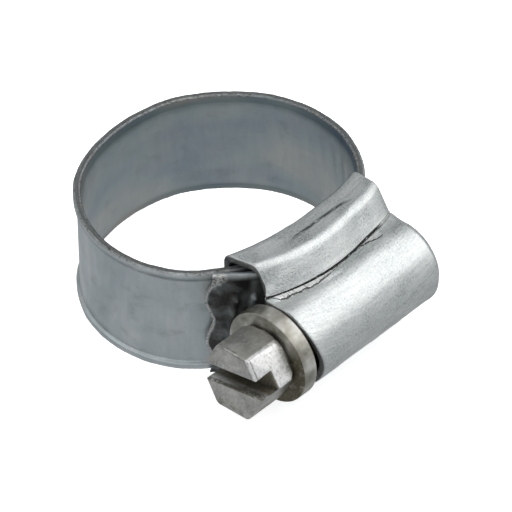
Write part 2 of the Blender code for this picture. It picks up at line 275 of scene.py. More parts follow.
def strip_piece(name, first, last, step, free_end=False):
    """A length of the band, from distance first to last."""
    z, outside = band_section()
    count = max(2, round((last - first) / step))
    s = np.linspace(first, last, count + 1)
    joint = 0.1
    s = np.unique(np.concatenate((s, (first + joint, last - joint))))
    s, z, outside = np.broadcast_arrays(s[:, None], z[None], outside[None])
    if free_end:
        s = s + ragged_end(z) * smooth((first + 2.5 - s) / 2.5)
    tall = np.abs(z)
    lip = LIP_RISE * smooth((tall - LIP_START) / LIP_RUN)
    shallow = 0.5 * LIP_RISE * smooth((tall - 4.9) / 1.4)
    nested = smooth((LAP_TO - s) / 4.0)
    lip = np.where(outside > 0.5, lip, shallow + (lip - shallow) * nested)
    lip = lip * (1.0 + 0.1 * wobble(s + 7.0 * (z > 0), 3, 9.0))
    corner = np.clip((tall - (BAND_HALF_W - EDGE_R)) / EDGE_R, 0.0, 1.0)
    half = BAND_T / 2 * np.sqrt(1.0 - 0.93 * corner**2)
    if free_end:
        half = half * (1.0 - 0.22 * smooth((first + 0.35 - s) / 0.35))
    ridges = ridge_height(s, z)
    off = lip + np.where(outside > 0.5, half + RIDGE_H * ridges, RIDGE_DENT * ridge_dent(s, z) - half)
    at, out = PATH.at(s)
    plan = at + out * off[..., None]
    rim = z + 0.035 * wobble(s, 8, 5.0) * smooth((tall - 6.0) / 0.5)
    if free_end:
        rim = rim + 0.28 * smooth((first + 4.0 - s) / 4.0) * smooth((z - 2.0) / 4.0)
    points = np.concatenate((plan, rim[..., None]), -1)

    rows, ring = s.shape
    grid = np.arange(rows * ring).reshape(rows, ring)
    ahead = np.roll(grid, -1, axis=1)
    quads = [np.stack((grid[:-1], ahead[:-1], ahead[1:], grid[1:]), -1).reshape(-1, 4)]
    k = np.arange(ring // 2 - 1)
    for row, flip in ((grid[0], 1), (grid[-1], -1)):
        cap = np.stack((row[k], row[ring - 1 - k], row[ring - 2 - k], row[k + 1]), -1)
        quads.append(cap[:, ::flip])

    far_from_end = s - TAIL_END - ragged_end(z) * float(free_end)
    # painted shade: a dark line in the crease under the lip's step, full on the upper half and weaker on the lower
    crease = outside * hump(tall - LIP_START - 0.1, 0.2) * np.where(z > 0.0, 1.0, 0.25)
    # painted highlight: a thin bright line along the outer face just below the rim
    lip_line = outside * hump(tall - 6.28, 0.1)
    wear = smooth((tall - 6.2) / 0.2)
    # grease and painted shade: the tail's outside beyond the housing, darkened where it lies under the housing and
    # carries screw grease
    dirt = outside * smooth((-7.6 - s) / 1.2) * (1.0 - 0.4 * smooth((z - 5.6) / 0.6))
    sheared = 0.0 * s
    if free_end:
        sheared = smooth((0.24 - far_from_end) / 0.12) * smooth((z + 4.6) / 0.8)
        facet = smooth((z - 4.2 - 0.9 * far_from_end) / 0.35) * smooth((1.5 - far_from_end) / 0.3)
        sheared = np.maximum(sheared, outside * facet)
        dirt = dirt * (1.0 - sheared)
        wear = wear * smooth((s - first - 3.0) / 1.5)
    # grease and painted shade: the head end's outside inside the housing, near the mouth
    mouth = outside * smooth((s - (HEAD_END - 11.0)) / 4.0)
    dirt = np.maximum(dirt, 0.8 * mouth)
    return new_object(
        name,
        points,
        np.concatenate(quads),
        tex=np.stack((s, z, 30.0 * outside), -1),
        wear=wear,
        dirt=dirt,
        crease=crease,
        lip_line=lip_line,
        sheared=sheared,
        # the hose side, doubled just under the lip, where the painted shade is strongest
        inside=(1.0 - outside) * (1.0 + 1.0 * smooth((tall - LIP_START + 0.1) / 0.3)),
    )


def build_band(finish):
    """The band is one strip, made as three lengths split where the CAD bodies stay rigid."""
    far = PATH.distance_of(FAR_SPLIT_DEG)
    left = PATH.distance_of(LEFT_SPLIT_DEG)
    lengths = (
        ("band_threaded_tail", TAIL_END, far, 0.15, ("tail", "far_side"), (14, -1), (14, 11)),
        ("band_back", far, left, 0.35, ("far_side", "left_side"), (-8, 11.5), (-15, 2)),
        ("band_head", left, HEAD_END, 0.3, ("left_side", "head_end"), (-14.9, -2.5), (-8.9, -11)),
    )
    for name, first, last, step, bodies, start, end in lengths:
        piece = strip_piece(name, first, last, step, free_end=first == TAIL_END)
        piece.data.materials.append(finish)
        start, end = [(np.array((*p, 0.0)) + LOOP) * MM for p in (start, end)]
        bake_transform(piece)
    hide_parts("band_tail")
    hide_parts("band_far_side")
    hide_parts("band_left_side", "band_head_end")


# ---------------------------------------------------------------- housing shape


def arc_y(x, mid, radius, centre_x):
    """An arc, bulging to -Y, whose lowest point is at centre_x."""
    return mid + radius - math.sqrt(radius * radius - (x - centre_x) ** 2)


def housing_half(x, thick, squeeze):
    """Half of the section as (y, z), from the saddle's middle to the tunnel's far side.

    thick is 0 for the skin that shows, and the sheet's thickness for the one inside.
    squeeze is how far the tunnel's rim is curled in here.
    """
    flatter = float(smooth((x - 2.0) / 7.0))
    saddle = arc_y(x, SADDLE_MID, SADDLE_R, SADDLE_X) - SADDLE_DROP * flatter
    saddle -= thick * (1.0 - SADDLE_THINNING * flatter)
    shoulder = arc_y(x, SHOULDER_MID, SHOULDER_R, SHOULDER_X) + thick
    shoulder -= SHOULDER_DROP * float(smooth((x - 4.0) / 6.0))
    top, r = FOLD_Z - thick, TUNNEL_R - thick - squeeze
    corner = 1.2 - 0.8 * thick
    turn = SHOULDER_ROUND - 0.9 * thick
    seam = np.array((shoulder - 0.2 - 0.1 * thick, min(5.0, TUNNEL_R) - thick - 0.4 * squeeze))
    out = [(saddle, z) for z in np.linspace(0.0, top - corner, 12, endpoint=False)]
    for a in np.radians(np.linspace(0.0, 90.0, 9)):
        out.append((saddle - corner * (1.0 - math.cos(a)), top - corner * (1.0 - math.sin(a))))
    land = saddle - corner, shoulder + turn
    out += [(y, top) for y in np.linspace(*land, 9)[1:-1]]
    flank = top - seam[1]
    for a in np.radians(np.linspace(0.0, BEND_DEG, 10)):
        out.append((shoulder + turn - BEND_R * math.sin(a), top - BEND_R * (1.0 - math.cos(a))))
    foot = np.array((shoulder, top - flank))
    start = np.array(out[-1])
    lean = np.array((-math.cos(math.radians(BEND_DEG)), -math.sin(math.radians(BEND_DEG))))
    knee = start + lean * 1.0
    for k in np.linspace(0.0, 1.0, 9)[1:]:
        out.append(tuple((1 - k) ** 2 * start + 2 * k * (1 - k) * knee + k * k * foot))
    out += [tuple(seam + (0.12, 0.1)), tuple(seam + (0.05, 0.03)), tuple(seam)]
    crown = np.array((AXIS_Y, r))
    for k in np.linspace(0.0, 1.0, 23)[1:-1] ** 1.7:
        out.append(tuple(seam + (crown - seam) * k - (0.0, 0.1 * math.sin(math.pi * k))))
    for a in np.radians(np.linspace(0.0, 90.0, 27)):
        out.append((AXIS_Y - r * math.sin(a), r * math.cos(a)))
    return np.array(out), len(out) - 27 - 21 - 1


def end_x(section, side):
    """Where the sheet ends in X at each point of a section: side -1 is the screw's mouth."""
    y, z = section[:, 0], section[:, 1]
    depth = smooth((-13.5 - y) / 4.0)
    if side > 0:
        return HOUSING_RIGHT + (TUNNEL_RIGHT - HOUSING_RIGHT) * depth
    reach = MOUTH_REACH * smooth((z + 1.5) / 6.0) * smooth((-14.3 - y) / 1.2)
    saddle_reach = SADDLE_REACH * smooth((y + 13.5) / 3.5)
    return HOUSING_LEFT + (TUNNEL_LEFT - HOUSING_LEFT) * depth - reach - saddle_reach


def housing_rings():
    """(fraction along X, share of the sheet's thickness, inset) round the sheet, skin by skin."""
    lead = np.linspace(0.0, 1.0, 112)
    edge = [(0.0, 0.06, 0.05), (0.0, 0.2, 0.0), (0.0, 0.5, 0.0), (0.0, 0.8, 0.0), (0.0, 0.94, 0.05)]
    rings = [(u, 0.0, 0.14) for u in lead]
    rings += [(1.0, t, inset) for _, t, inset in edge]
    rings += [(u, 1.0, 0.14) for u in np.linspace(1.0, 0.0, 34)]
    rings += [(0.0, t, inset) for _, t, inset in reversed(edge)]
    return rings


def build_housing(finish):
    points, masks = [], {"tex": [], "dirt": [], "wear": []}
    for u, share, inset in housing_rings():
        x = HOUSING_LEFT + (HOUSING_RIGHT - HOUSING_LEFT) * u
        squeeze = RIM_CURL * float(smooth((x - RIM_START) / (HOUSING_RIGHT - RIM_START))) ** 1.3
        half, seam = housing_half(x, SHEET_T * share, squeeze)
        section = np.concatenate((half, half[-2:0:-1] * (1.0, -1.0)))
        upper = np.concatenate((np.ones(len(half)), np.zeros(len(half) - 2)))
        x0, x1 = end_x(section, -1) + inset, end_x(section, 1) - inset
        xs = x0 + (x1 - x0) * u

        run = np.concatenate(([0.0], np.cumsum(np.hypot(*np.diff(half, axis=0).T))))
        run = run - run[seam]
        run = np.concatenate((run, run[-2:0:-1]))
        along = np.roll(section, -1, axis=0) - np.roll(section, 1, axis=0)
        along /= np.hypot(*along.T)[:, None]
        normal = np.stack((-along[:, 1], along[:, 0]), -1)
        if (normal[0] @ (1.0, 0.0)) < 0:
            normal = -normal

        burr = smooth((xs + 9.3) / 0.5) * smooth((1.0 - xs) / 4.0) * upper
        fork = smooth((xs - 2.4) / 2.6) * smooth((6.2 - xs) / 0.5) * upper
        groove = (0.14 + 0.16 * burr + 0.08 * fork) * hump(run, 0.14)
        across = smooth((run - 0.06) / 0.12) * smooth((BURR_WIDTH + 0.1 - run) / 0.2)
        lift = (1.0 - share) * (0.16 * burr * across - groove)
        dent = 0.035 * wobble(xs + 0.3 * run, 31, 9.0, 4) * smooth(np.abs(run) / 2.0)
        hollow = section[:, 0] - (AXIS_Y - 2.3 + 0.3 * wobble(xs, 41, 8.0, 3))
        dent = dent - 0.09 * hump(hollow, 0.8) * upper * smooth((8.5 - xs) / 2.5)
        section = section + normal * (lift + dent * (1.0 - share))[:, None]
        points.append(np.column_stack((xs, section)))

        masks["tex"].append(np.column_stack((xs, run + 40.0 * (1.0 - upper), 30.0 * share + 0 * xs)))
        rim = 1.0 if 0.1 < share < 0.9 else 0.0
        # painted shade: the sheet's inner skin is darkened towards near black
        masks["dirt"].append(np.clip(share * 1.1 - 0.55, 0.0, 0.6) + 0 * xs)
        masks["wear"].append(rim + 0 * xs)

    points = np.array(points)
    rings, cols = points.shape[:2]
    grid = np.arange(rings * cols).reshape(rings, cols)
    right, down = np.roll(grid, -1, axis=1), np.roll(grid, -1, axis=0)
    both = np.roll(right, -1, axis=0)
    quads = np.stack((grid, right, both, down), -1).reshape(-1, 4)
    masks = {key: np.array(values) for key, values in masks.items()}
    piece = new_object("housing_shell", points, quads, sharp_deg=55.0, **masks)
    piece.data.materials.append(finish)
    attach(piece, "housing")
    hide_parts("housing")


# ---------------------------------------------------------------- screw shape


def lathe(name, profile, columns=96):
    """A closed turned solid about the screw's axis, from (x, radius) pairs."""
    a = np.linspace(0.0, math.tau, columns, endpoint=False)
    profile = np.array(profile, float)
    rings = np.stack(
        np.broadcast_arrays(
            profile[:, :1],
            AXIS_Y + profile[:, 1:] * np.cos(a),
            profile[:, 1:] * np.sin(a),
        ),
        -1,
    )
    return capped_rings(name, rings)


def capped_rings(name, rings):
    """A closed solid through rings of points, with a fan at each end."""
    count, cols = rings.shape[:2]
    tips = np.array((rings[0].mean(axis=0), rings[-1].mean(axis=0)))
    grid = np.arange(count * cols).reshape(count, cols)
    ahead = np.roll(grid, -1, axis=1)
    quads = np.stack((grid[:-1], ahead[:-1], ahead[1:], grid[1:]), -1).reshape(-1, 4)
    tris = np.concatenate((quads[:, [0, 1, 2]], quads[:, [0, 2, 3]]))
    low, high = count * cols, count * cols + 1
    fans = [np.column_stack((ahead[0], grid[0], np.full(cols, low)))]
    fans.append(np.column_stack((grid[-1], ahead[-1], np.full(cols, high))))
    return new_object(name, np.concatenate((rings.reshape(-1, 3), tips)), np.concatenate((tris, *fans)))


def rounded(corners, radius, steps=4):
    """A profile whose inner corners are rounded off to about this radius."""
    corners = [np.array(c, float) for c in corners]
    out = [corners[0]]
    for before, here, after in zip(corners, corners[1:], corners[2:]):
        cut = min(radius, np.hypot(*(here - before)) * 0.45, np.hypot(*(after - here)) * 0.45)
        a = here + (before - here) / np.hypot(*(before - here)) * cut
        b = here + (after - here) / np.hypot(*(after - here)) * cut
        for k in np.linspace(0.0, 1.0, steps):
            out.append((1 - k) ** 2 * a + 2 * k * (1 - k) * here + k * k * b)
    return out + [corners[-1]]


def hexagon():
    """The hexagonal bar of the head. Its front face leans a little."""
    a = np.radians(np.arange(6) * 60.0 + HEX_TURN_DEG)
    y, z = HEX_R * np.cos(a), HEX_R * np.sin(a)
    front = np.column_stack((HEX_FRONT + FRONT_LEAN * z, AXIS_Y + y, z))
    back = np.column_stack((np.full(6, HEX_BACK), AXIS_Y + y, z))
    return capped_rings("hexagon", np.array((front, back)))


def slot_box():
    tilt = math.radians(SLOT_TILT_DEG)
    rings = []
    for x in (HEX_FRONT - 1.0, HEX_FRONT + SLOT_DEPTH):
        corners = []
        for y, z in ((-6, -0.5), (6, -0.5), (6, 0.5), (-6, 0.5)):
            z = z * SLOT_W
            across = AXIS_Y + y * math.cos(tilt) - z * math.sin(tilt)
            corners.append((x, across, SLOT_LIFT + y * math.sin(tilt) + z * math.cos(tilt)))
        rings.append(corners)
    return capped_rings("slot", np.array(rings))


def worm_thread():
    """The right-handed thread, whose turns face the strip's grooves."""
    per_turn = 40
    turn = np.arange(int(WORM_TURNS * per_turn) + 1) / per_turn
    ends = smooth(turn / 0.3) * smooth((WORM_TURNS - turn) / 0.3)
    a = turn * math.tau
    x = WORM_START + PITCH * turn
    root, tip = WORM_ROOT_R - 0.3, WORM_ROOT_R + 0.03 + (WORM_R - WORM_ROOT_R - 0.03) * ends
    foot, crest = 0.62, 0.2 + 0.3 * (1.0 - ends)
    section = []
    for r, dx in ((root, -foot), (tip - 0.06, -crest), (tip, -crest + 0.07), (tip, crest - 0.07), (tip - 0.06, crest), (root, foot)):
        r = np.broadcast_to(r, a.shape)
        section.append(np.column_stack((x + dx, AXIS_Y + r * np.cos(a), r * np.sin(a))))
    return capped_rings("thread", np.stack(section, axis=1))


def combine(base, steps):
    """base with each (operation, object) applied, as a plain mesh. The helpers are removed."""
    for operation, other in steps:
        mod = base.modifiers.new(other.name, "BOOLEAN")
        mod.operation = operation
        mod.solver = "EXACT"
        mod.object = other
    mesh = evaluated(base)
    for obj in [base] + [other for _, other in steps]:
        bpy.data.objects.remove(obj, do_unlink=True)
    obj = bpy.data.objects.new("combined", mesh)
    bpy.context.scene.collection.objects.link(obj)
    return obj


def evaluated(obj):
    bpy.context.view_layer.update()
    graph = bpy.context.evaluated_depsgraph_get()
    return bpy.data.meshes.new_from_object(obj.evaluated_get(graph))


def soften_edges(obj, width, segments, sharp_deg=25.0):
    bevel = obj.modifiers.new("edges", "BEVEL")
    bevel.width = width * MM
    bevel.segments = segments
    bevel.limit_method = "ANGLE"
    bevel.angle_limit = math.radians(sharp_deg)
    bevel.use_clamp_overlap = True
    mesh = evaluated(obj)
    obj.modifiers.clear()
    obj.data = mesh


def build_screw(finish):
    chamfer = [
        (HEX_FRONT - 0.6, 0.5),
        (HEX_FRONT - 0.6, 4.05),
        (HEX_FRONT + 0.4, 4.3),
        (HEX_BACK - 0.8, 4.3),
        (HEX_BACK + 0.02, 3.85),
        (HEX_BACK + 0.3, 0.5),
    ]
    head = combine(hexagon(), [("INTERSECT", lathe("chamfer", chamfer, 128)), ("DIFFERENCE", slot_box())])
    soften_edges(head, 0.09, 2)
    corners = [(-13.2, 3.4), (COLLAR_FRONT, 3.4), (COLLAR_FRONT, COLLAR_R), (COLLAR_BACK, COLLAR_R)]
    corners += [(COLLAR_BACK, 3.0), (-7.9, 3.0), (-7.7, WORM_ROOT_R), (7.1, WORM_ROOT_R)]
    corners += [(7.2, 1.5), (8.5, 1.5), (8.7, 1.2)]
    collar = rounded(corners, 0.14)
    piece = combine(head, [("UNION", lathe("shank", collar, 96)), ("UNION", worm_thread())])
    piece.name = piece.data.name = "hex_screw"
    mesh = piece.data
    mesh.shade_smooth()
    mesh.set_sharp_from_angle(angle=math.radians(32.0))
    rest = np.empty(len(mesh.vertices) * 3, np.float32)
    mesh.vertices.foreach_get("co", rest)
    rest = rest.reshape(-1, 3) / MM - LOOP - (0.0, AXIS_Y, 0.0)
    tex = mesh.attributes.new("tex", "FLOAT_VECTOR", "POINT")
    tex.data.foreach_set("vector", rest.astype(np.float32).ravel())
    mesh.materials.clear()
    mesh.materials.append(finish)
    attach(piece, "screw")
    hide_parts("screw")


# ---------------------------------------------------------------- materials


class Finish:
    """A node material under construction. Each method adds nodes and returns a socket."""

    def __init__(self, name):
        self.mat = bpy.data.materials.new(name)
        self.mat.use_nodes = True
        self.tree = self.mat.node_tree
        self.bsdf = self.tree.nodes["Principled BSDF"]

    def put(self, socket, value):
        if isinstance(value, bpy.types.NodeSocket):
            self.tree.links.new(value, socket)
        else:
            socket.default_value = value

    def node(self, kind, *inputs, **settings):
        node = self.tree.nodes.new(kind)
        for key, value in settings.items():
            setattr(node, key, value)
        for k, value in enumerate(inputs):
            if value is not None:
                self.put(node.inputs[k], value)
        return node

    def mask(self, name):
        return self.node("ShaderNodeAttribute", attribute_name=name).outputs["Fac"]

    def place(self, scale=(1.0, 1.0, 1.0), shift=(0.0, 0.0, 0.0)):
        """The rest position in mm, stretched, so a pattern stays on the metal as it moves."""
        tex = self.node("ShaderNodeAttribute", attribute_name="tex").outputs["Vector"]
        add = self.node("ShaderNodeVectorMath", tex, shift, operation="ADD")
        return self.node("ShaderNodeVectorMath", add.outputs[0], scale, operation="MULTIPLY").outputs[0]

    def noise(self, scale, detail=4.0, rough=0.55, shift=(0.0, 0.0, 0.0), warp=0.0):
        node = self.node("ShaderNodeTexNoise", self.place(scale, shift))
        node.inputs["Scale"].default_value = 1.0
        node.inputs["Detail"].default_value = detail
        node.inputs["Roughness"].default_value = rough
        node.inputs["Distortion"].default_value = warp
        return node.outputs["Fac"]

    def calc(self, operation, a, b=0.0, clamp=False):
        return self.node("ShaderNodeMath", a, b, operation=operation, use_clamp=clamp).outputs[0]

    def fade(self, value, low, high, to_low=0.0, to_high=1.0):
        node = self.node("ShaderNodeMapRange", interpolation_type="SMOOTHSTEP")
        for k, item in enumerate((value, low, high, to_low, to_high)):
            self.put(node.inputs[k], item)
        return node.outputs[0]

    def ramp(self, value, *stops):
        node = self.node("ShaderNodeValToRGB", value)
        items = node.color_ramp.elements
        while len(items) < len(stops):
            items.new(0.5)
        for item, (at, colour) in zip(items, stops):
            item.position = at
            item.color = (*colour, 1.0)
        return node.outputs["Color"]

    def mix(self, share, a, b, blend="MIX"):
        node = self.node("ShaderNodeMix", data_type="RGBA", blend_type=blend)
        for socket, item in zip((node.inputs[0], node.inputs[6], node.inputs[7]), (share, a, b)):
            if isinstance(item, tuple) and len(item) == 3:
                item = (*item, 1.0)
            self.put(socket, item)
        return node.outputs[2]

    def blend(self, share, a, b):
        node = self.node("ShaderNodeMix", data_type="FLOAT")
        for k, item in enumerate((share, a, b)):
            self.put([node.inputs[0], node.inputs[2], node.inputs[3]][k], item)
        return node.outputs[0]

    def bump(self, height, depth, normal=None):
        """Raised by height times depth, in millimetres."""
        node = self.node("ShaderNodeBump")
        node.inputs["Strength"].default_value = 1.0
        node.inputs["Distance"].default_value = depth * MM
        self.put(node.inputs["Height"], height)
        if normal is not None:
            self.put(node.inputs["Normal"], normal)
        return node.outputs[0]

    def done(self, colour, roughness, metallic, normal):
        self.put(self.bsdf.inputs["Base Color"], colour)
        self.put(self.bsdf.inputs["Roughness"], roughness)
        self.put(self.bsdf.inputs["Metallic"], metallic)
        self.put(self.bsdf.inputs["Normal"], normal)
        return self.mat


def scratches(f, scale, shift, thin):
    """Fine lines: the narrow middle of a stretched noise."""
    lines = f.calc("ABSOLUTE", f.calc("SUBTRACT", f.noise(scale, 2.0, 0.5, shift), 0.5))
    return f.fade(lines, 0.0, thin, 1.0, 0.0)


def band_finish():
    f = Finish("band_zinc_satin")
    cloud = f.noise((0.2, 0.13, 1.0), 4.0, 0.62, warp=0.5)
    drawn = f.noise((0.9, 0.14, 1.0), 5.0, 0.6)
    speck = f.noise((3.2, 3.2, 1.0), 4.0, 0.75)
    smudge = f.fade(f.noise((0.4, 0.5, 1.0), 5.0, 0.65, (17.0, 3.0, 0.0)), 0.5, 0.72)
    colour = f.ramp(cloud, (0.3, (0.38, 0.44, 0.46)), (0.5, (0.5, 0.55, 0.565)), (0.7, (0.62, 0.645, 0.645)))
    colour = f.mix(f.fade(drawn, 0.35, 0.65, 0.0, 0.3), colour, (0.38, 0.43, 0.455))
    colour = f.mix(f.fade(speck, 0.4, 0.75, 0.0, 0.3), colour, (0.66, 0.68, 0.67))
    colour = f.mix(f.calc("MULTIPLY", smudge, 0.35), colour, (0.26, 0.275, 0.26))
    # painted shade on the hose side: a darker blue-green tint with tarnish colours, stronger just under the lip
    inside = f.mask("inside")
    tarnish_and_shade = f.noise((0.055, 0.17, 1.0), 2.0, 0.45, (4.0, 1.0, 0.0))
    tint = f.ramp(tarnish_and_shade, (0.38, (0.12, 0.17, 0.23)), (0.5, (0.22, 0.275, 0.285)), (0.62, (0.36, 0.35, 0.325)))
    colour = f.mix(f.calc("MULTIPLY", inside, 0.45, clamp=True), colour, tint)

    pits = f.noise((3.2, 5.0, 1.0), 5.0, 0.8, (3.0, 9.0, 0.0))
    worn = f.ramp(pits, (0.37, (0.03, 0.03, 0.028)), (0.46, (0.2, 0.205, 0.2)), (0.62, (0.36, 0.37, 0.36)))
    wear = f.calc("MULTIPLY", f.mask("wear"), f.fade(f.noise((0.5, 1.0, 1.0), 4.0, 0.7), 0.3, 0.55, 0.5, 1.0))
    colour = f.mix(wear, colour, worn)
    broken = f.fade(f.noise((0.3, 2.4, 1.0), 6.0, 0.8), 0.36, 0.52)
    # painted shade under the lip's step, broken up by noise and mixed towards near black
    crease = f.calc("MULTIPLY", f.mask("crease"), broken)
    colour = f.mix(f.calc("MULTIPLY", crease, 0.85), colour, (0.035, 0.036, 0.034))
    # painted highlight along the rim's outer edge, speckled by the pits noise
    lip_line = f.calc("MULTIPLY", f.mask("lip_line"), f.fade(pits, 0.4, 0.5, 0.1, 0.7))
    colour = f.mix(lip_line, colour, (0.74, 0.76, 0.75))
    sheared = f.mask("sheared")
    colour = f.mix(sheared, colour, f.ramp(pits, (0.4, (0.08, 0.08, 0.075)), (0.52, (0.62, 0.62, 0.6))))
    # grease and painted shade on the strip, mixed towards near black
    oil_and_shade = f.calc("MULTIPLY", f.mask("dirt"), f.fade(f.noise((0.35, 0.5, 1.0), 3.0, 0.55), 0.3, 0.6, 0.8, 1.0))
    film = f.noise((0.9, 0.25, 1.0), 3.0, 0.5, (2.0, 2.0, 0.0))
    black = f.ramp(film, (0.35, (0.006, 0.006, 0.006)), (0.55, (0.02, 0.02, 0.018)), (0.75, (0.075, 0.073, 0.066)))
    colour = f.mix(oil_and_shade, colour, black)

    rough = f.fade(cloud, 0.3, 0.7, 0.36, 0.46)
    rough = f.calc("ADD", rough, f.fade(speck, 0.3, 0.7, -0.05, 0.06))
    rough = f.blend(oil_and_shade, rough, 0.42)
    height = f.calc("ADD", f.calc("MULTIPLY", drawn, 0.7), f.calc("MULTIPLY", speck, 0.4))
    normal = f.bump(height, 0.02)
    normal = f.bump(f.calc("MULTIPLY", wear, pits), 0.1, normal)
    normal = f.bump(f.noise((0.2, 0.16, 1.0), 1.0, 0.4, (5.0, 5.0, 0.0)), 0.16, normal)
    metal = f.blend(oil_and_shade, 1.0, 0.45)
    return f.done(colour, rough, metal, normal)


def housing_finish():
    f = Finish("housing_zinc_bright")
    x, run, skin = f.node("ShaderNodeSeparateXYZ", f.place()).outputs
    cloud = f.noise((0.2, 0.45, 1.0), 4.0, 0.62, warp=0.5)
    drawn = f.noise((0.3, 2.6, 1.0), 6.0, 0.7, (0.0, 4.0, 0.0))
    frost = f.noise((4.2, 4.2, 1.0), 5.0, 0.8)
    colour = f.ramp(cloud, (0.3, (0.42, 0.45, 0.45)), (0.5, (0.57, 0.6, 0.59)), (0.7, (0.74, 0.755, 0.735)))
    colour = f.mix(f.fade(drawn, 0.36, 0.64, 0.0, 0.5), colour, (0.36, 0.39, 0.395))
    colour = f.mix(f.fade(frost, 0.4, 0.6, 0.0, 0.5), colour, (0.88, 0.885, 0.86))
    fine = scratches(f, (0.35, 3.6, 1.0), (8.0, 2.0, 0.0), 0.014)
    cross = scratches(f, (2.8, 0.4, 1.0), (1.0, 6.0, 0.0), 0.02)
    colour = f.mix(f.calc("MULTIPLY", fine, 0.4), colour, (0.16, 0.17, 0.17))
    colour = f.mix(f.calc("MULTIPLY", cross, 0.3), colour, (0.86, 0.86, 0.84))

    bowed = f.calc("SUBTRACT", run, f.calc("MULTIPLY", f.calc("MULTIPLY", x, x), GOUGE_BOW))
    gouge = f.fade(f.calc("ABSOLUTE", f.calc("ADD", bowed, GOUGE_RUN)), 0.06, 0.3, 1.0, 0.0)
    gouge = f.calc("MULTIPLY", gouge, f.calc("MULTIPLY", f.fade(x, -4.2, -2.0), f.fade(x, 4.0, 6.0, 1.0, 0.0)))
    gouge = f.calc("MULTIPLY", gouge, f.fade(f.noise((0.7, 3.0, 1.0), 5.0, 0.75), 0.36, 0.52))
    colour = f.mix(f.calc("MULTIPLY", gouge, 0.9), colour, (0.04, 0.045, 0.045))

    chip = f.noise((2.8, 3.4, 1.0), 5.0, 0.75, (2.0, 7.0, 0.0))
    on_skin = f.fade(skin, 0.5, 1.0, 1.0, 0.0)
    torn = f.calc("ADD", run, f.fade(f.noise((0.9, 0.6, 1.0), 5.0, 0.7, (5.0, 0.0, 0.0)), 0.3, 0.7, -0.13, 0.13))
    taper = f.calc("MULTIPLY", f.fade(x, -9.4, -8.6), f.fade(x, -4.5, 1.2, 1.0, 0.0))
    low_edge = f.calc("SUBTRACT", torn, f.calc("ADD", f.calc("MULTIPLY", taper, BURR_WIDTH), 0.04))
    burr = f.calc("MULTIPLY", f.fade(low_edge, -0.05, 0.0, 1.0, 0.0), f.fade(run, 0.04, 0.1))
    burr = f.calc("MULTIPLY", f.calc("MULTIPLY", burr, f.fade(taper, 0.04, 0.2)), on_skin)
    pleats = f.noise((5.0, 0.5, 1.0), 3.0, 0.6, (3.0, 0.0, 0.0))
    crumpled = f.ramp(pleats, (0.36, (0.22, 0.22, 0.21)), (0.43, (0.74, 0.74, 0.72)), (0.6, (0.95, 0.95, 0.93)))
    colour = f.mix(burr, colour, crumpled)
    open_fork = f.fade(x, 2.3, 5.8, 0.0, FORK_WIDTH)
    on_fork = f.calc("MULTIPLY", f.fade(x, 2.4, 3.2), f.fade(x, 5.9, 6.3, 1.0, 0.0))
    patch = f.calc("MULTIPLY", f.fade(run, 0.05, 0.12), f.fade(f.calc("SUBTRACT", torn, open_fork), -0.08, 0.0, 1.0, 0.0))
    patch = f.calc("MULTIPLY", f.calc("MULTIPLY", patch, on_fork), on_skin)
    colour = f.mix(f.calc("MULTIPLY", patch, 0.75), colour, (0.86, 0.87, 0.84))
    main = f.fade(f.calc("ABSOLUTE", f.calc("ADD", torn, 0.03)), 0.05, 0.14, 1.0, 0.0)
    main = f.calc("MULTIPLY", main, f.fade(x, 6.2, 7.6, 1.0, 0.35))
    second = f.fade(f.calc("ABSOLUTE", f.calc("SUBTRACT", torn, open_fork)), 0.04, 0.12, 1.0, 0.0)
    second = f.calc("MULTIPLY", second, on_fork)
    under = f.fade(f.calc("ABSOLUTE", low_edge), 0.03, 0.1, 1.0, 0.0)
    under = f.calc("MULTIPLY", under, f.fade(taper, 0.1, 0.5, 0.0, 0.9))
    crack = f.calc("MULTIPLY", f.calc("MAXIMUM", f.calc("MAXIMUM", main, second), under), on_skin)
    colour = f.mix(crack, colour, (0.01, 0.01, 0.009))
    edge = f.ramp(chip, (0.38, (0.02, 0.02, 0.018)), (0.48, (0.17, 0.175, 0.17)), (0.62, (0.36, 0.37, 0.355)))
    colour = f.mix(f.mask("wear"), colour, edge)
    # painted shade on the sheet's inner skin
    colour = f.mix(f.mask("dirt"), colour, (0.02, 0.02, 0.018))

    rough = f.fade(cloud, 0.3, 0.7, 0.26, 0.36)
    rough = f.calc("ADD", rough, f.fade(frost, 0.3, 0.7, -0.04, 0.08))
    rough = f.blend(crack, rough, 0.7)
    height = f.calc("ADD", f.calc("MULTIPLY", drawn, 0.7), f.calc("MULTIPLY", frost, 0.8))
    normal = f.bump(height, 0.034)
    normal = f.bump(f.noise((0.1, 0.35, 1.0), 1.0, 0.4, (5.0, 1.0, 0.0)), 0.12, normal)
    normal = f.bump(f.calc("SUBTRACT", f.calc("MULTIPLY", burr, pleats), crack), 0.16, normal)
    metal = f.blend(crack, 1.0, 0.2)
    return f.done(colour, rough, metal, normal)


